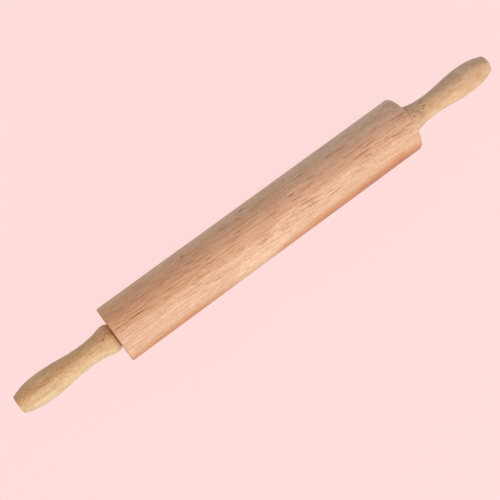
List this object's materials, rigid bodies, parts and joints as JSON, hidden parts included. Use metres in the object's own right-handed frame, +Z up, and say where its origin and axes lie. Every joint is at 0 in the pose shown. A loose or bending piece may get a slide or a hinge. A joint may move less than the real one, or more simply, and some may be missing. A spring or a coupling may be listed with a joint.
{
  "type": "rolling pin",
  "caption": "Turned wooden rolling pin with a plain cylindrical barrel that spins freely on a steel axle between contoured wooden handles fixed at its ends.",
  "frame": {"origin": "on the pin's axis, at the middle of its length", "axes": "+X along the pin towards the right handle, +Z up from the surface that it lies on"},
  "size_m": [0.4848, 0.051, 0.051],
  "materials": {
    "barrel_wood": "sanded and lightly oiled, pinkish tan with short dark pores along the grain",
    "handle_wood": "turned and thinly lacquered, yellowish tan",
    "axle_steel": "drawn bright bar",
    "bearing_steel": "ground and polished",
    "insert_brass": "turned",
    "carrier_nylon": "brown moulded nylon",
    "cage_nylon": "natural glass-filled nylon"
  },
  "bodies": {
    "handles_and_axle": {"axle_rod": "axle_steel", "left_handle": "handle_wood", "left_handle_insert": "insert_brass", "left_thrust_washer": "axle_steel", "left_inner_race": "bearing_steel", "right_handle": "handle_wood", "right_handle_insert": "insert_brass", "right_thrust_washer": "axle_steel", "right_inner_race": "bearing_steel"},
    "roller": {"barrel": "barrel_wood", "left_bearing_carrier": "carrier_nylon", "left_outer_race": "bearing_steel", "left_outer_shield": "bearing_steel", "left_inner_shield": "bearing_steel", "right_bearing_carrier": "carrier_nylon", "right_outer_race": "bearing_steel", "right_outer_shield": "bearing_steel", "right_inner_shield": "bearing_steel"},
    "left_ball_train": {"left_ball_cage": "cage_nylon", "left_ball_1": "bearing_steel", "left_ball_2": "bearing_steel", "left_ball_3": "bearing_steel", "left_ball_4": "bearing_steel", "left_ball_5": "bearing_steel", "left_ball_6": "bearing_steel", "left_ball_7": "bearing_steel", "left_ball_8": "bearing_steel", "left_ball_9": "bearing_steel"},
    "right_ball_train": {"right_ball_cage": "cage_nylon", "right_ball_1": "bearing_steel", "right_ball_2": "bearing_steel", "right_ball_3": "bearing_steel", "right_ball_4": "bearing_steel", "right_ball_5": "bearing_steel", "right_ball_6": "bearing_steel", "right_ball_7": "bearing_steel", "right_ball_8": "bearing_steel", "right_ball_9": "bearing_steel"}
  },
  "joints": [
    {"name": "roller_spin", "type": "hinge", "parent": "handles_and_axle", "child": "roller", "pos_m": [0, 0, 0], "axis": [1, 0, 0], "continuous": true},
    {"name": "left_ball_orbit", "type": "hinge", "parent": "handles_and_axle", "child": "left_ball_train", "pos_m": [-0.14787, 0, 0], "axis": [1, 0, 0], "continuous": true},
    {"name": "right_ball_orbit", "type": "hinge", "parent": "handles_and_axle", "child": "right_ball_train", "pos_m": [0.14787, 0, 0], "axis": [1, 0, 0], "continuous": true}
  ],
  "couplings": [
    {"joint": "left_ball_orbit", "follows": "roller_spin", "ratio": 0.59836},
    {"joint": "right_ball_orbit", "follows": "roller_spin", "ratio": 0.59836}
  ]
}
